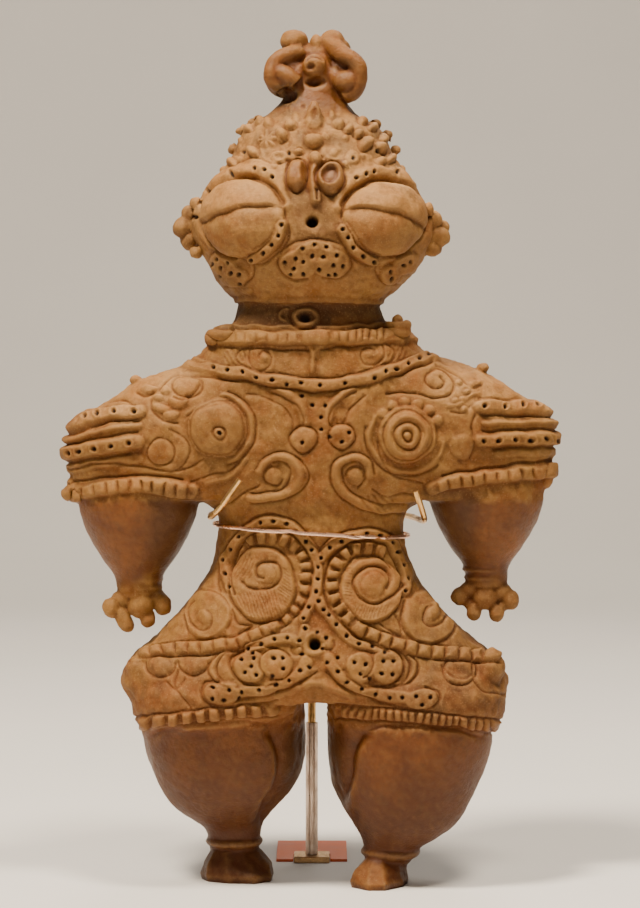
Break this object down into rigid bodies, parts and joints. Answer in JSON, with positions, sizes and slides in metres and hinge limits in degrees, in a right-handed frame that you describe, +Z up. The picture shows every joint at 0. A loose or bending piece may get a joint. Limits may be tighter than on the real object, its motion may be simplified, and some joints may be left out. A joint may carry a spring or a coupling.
{
  "type": "clay dogu figurine on a wire display stand",
  "caption": "Standing fired-clay figure with large goggle eyes, carved spirals and stub hands, held upright by a brass hook stand behind it.",
  "frame": {"origin": "on the floor, midway across the whole object's width and depth", "axes": "+Z up from the soles to the top knot; the figure faces -Y and its stand is behind it on +Y; +X is the viewer's right when facing the figure"},
  "size_m": [0.2138, 0.1234, 0.361],
  "materials": {
    "fired_clay": "fired clay, ochre to dark brown, burnished on the forearms and legs and worn on the raised carving",
    "stand_brass": "satin, slightly dulled",
    "tube_metal": "satin",
    "waist_copper": "copper wire, partly in a clear sleeve",
    "plate_paint": "matt orange paint"
  },
  "bodies": {
    "root": {"figurine": "fired_clay", "stand_rod_and_cradle": "stand_brass", "stand_tube": "tube_metal", "waist_wire": "waist_copper", "stand_foot_bar": "stand_brass", "stand_base_plate": "plate_paint"}
  },
  "joints": []
}
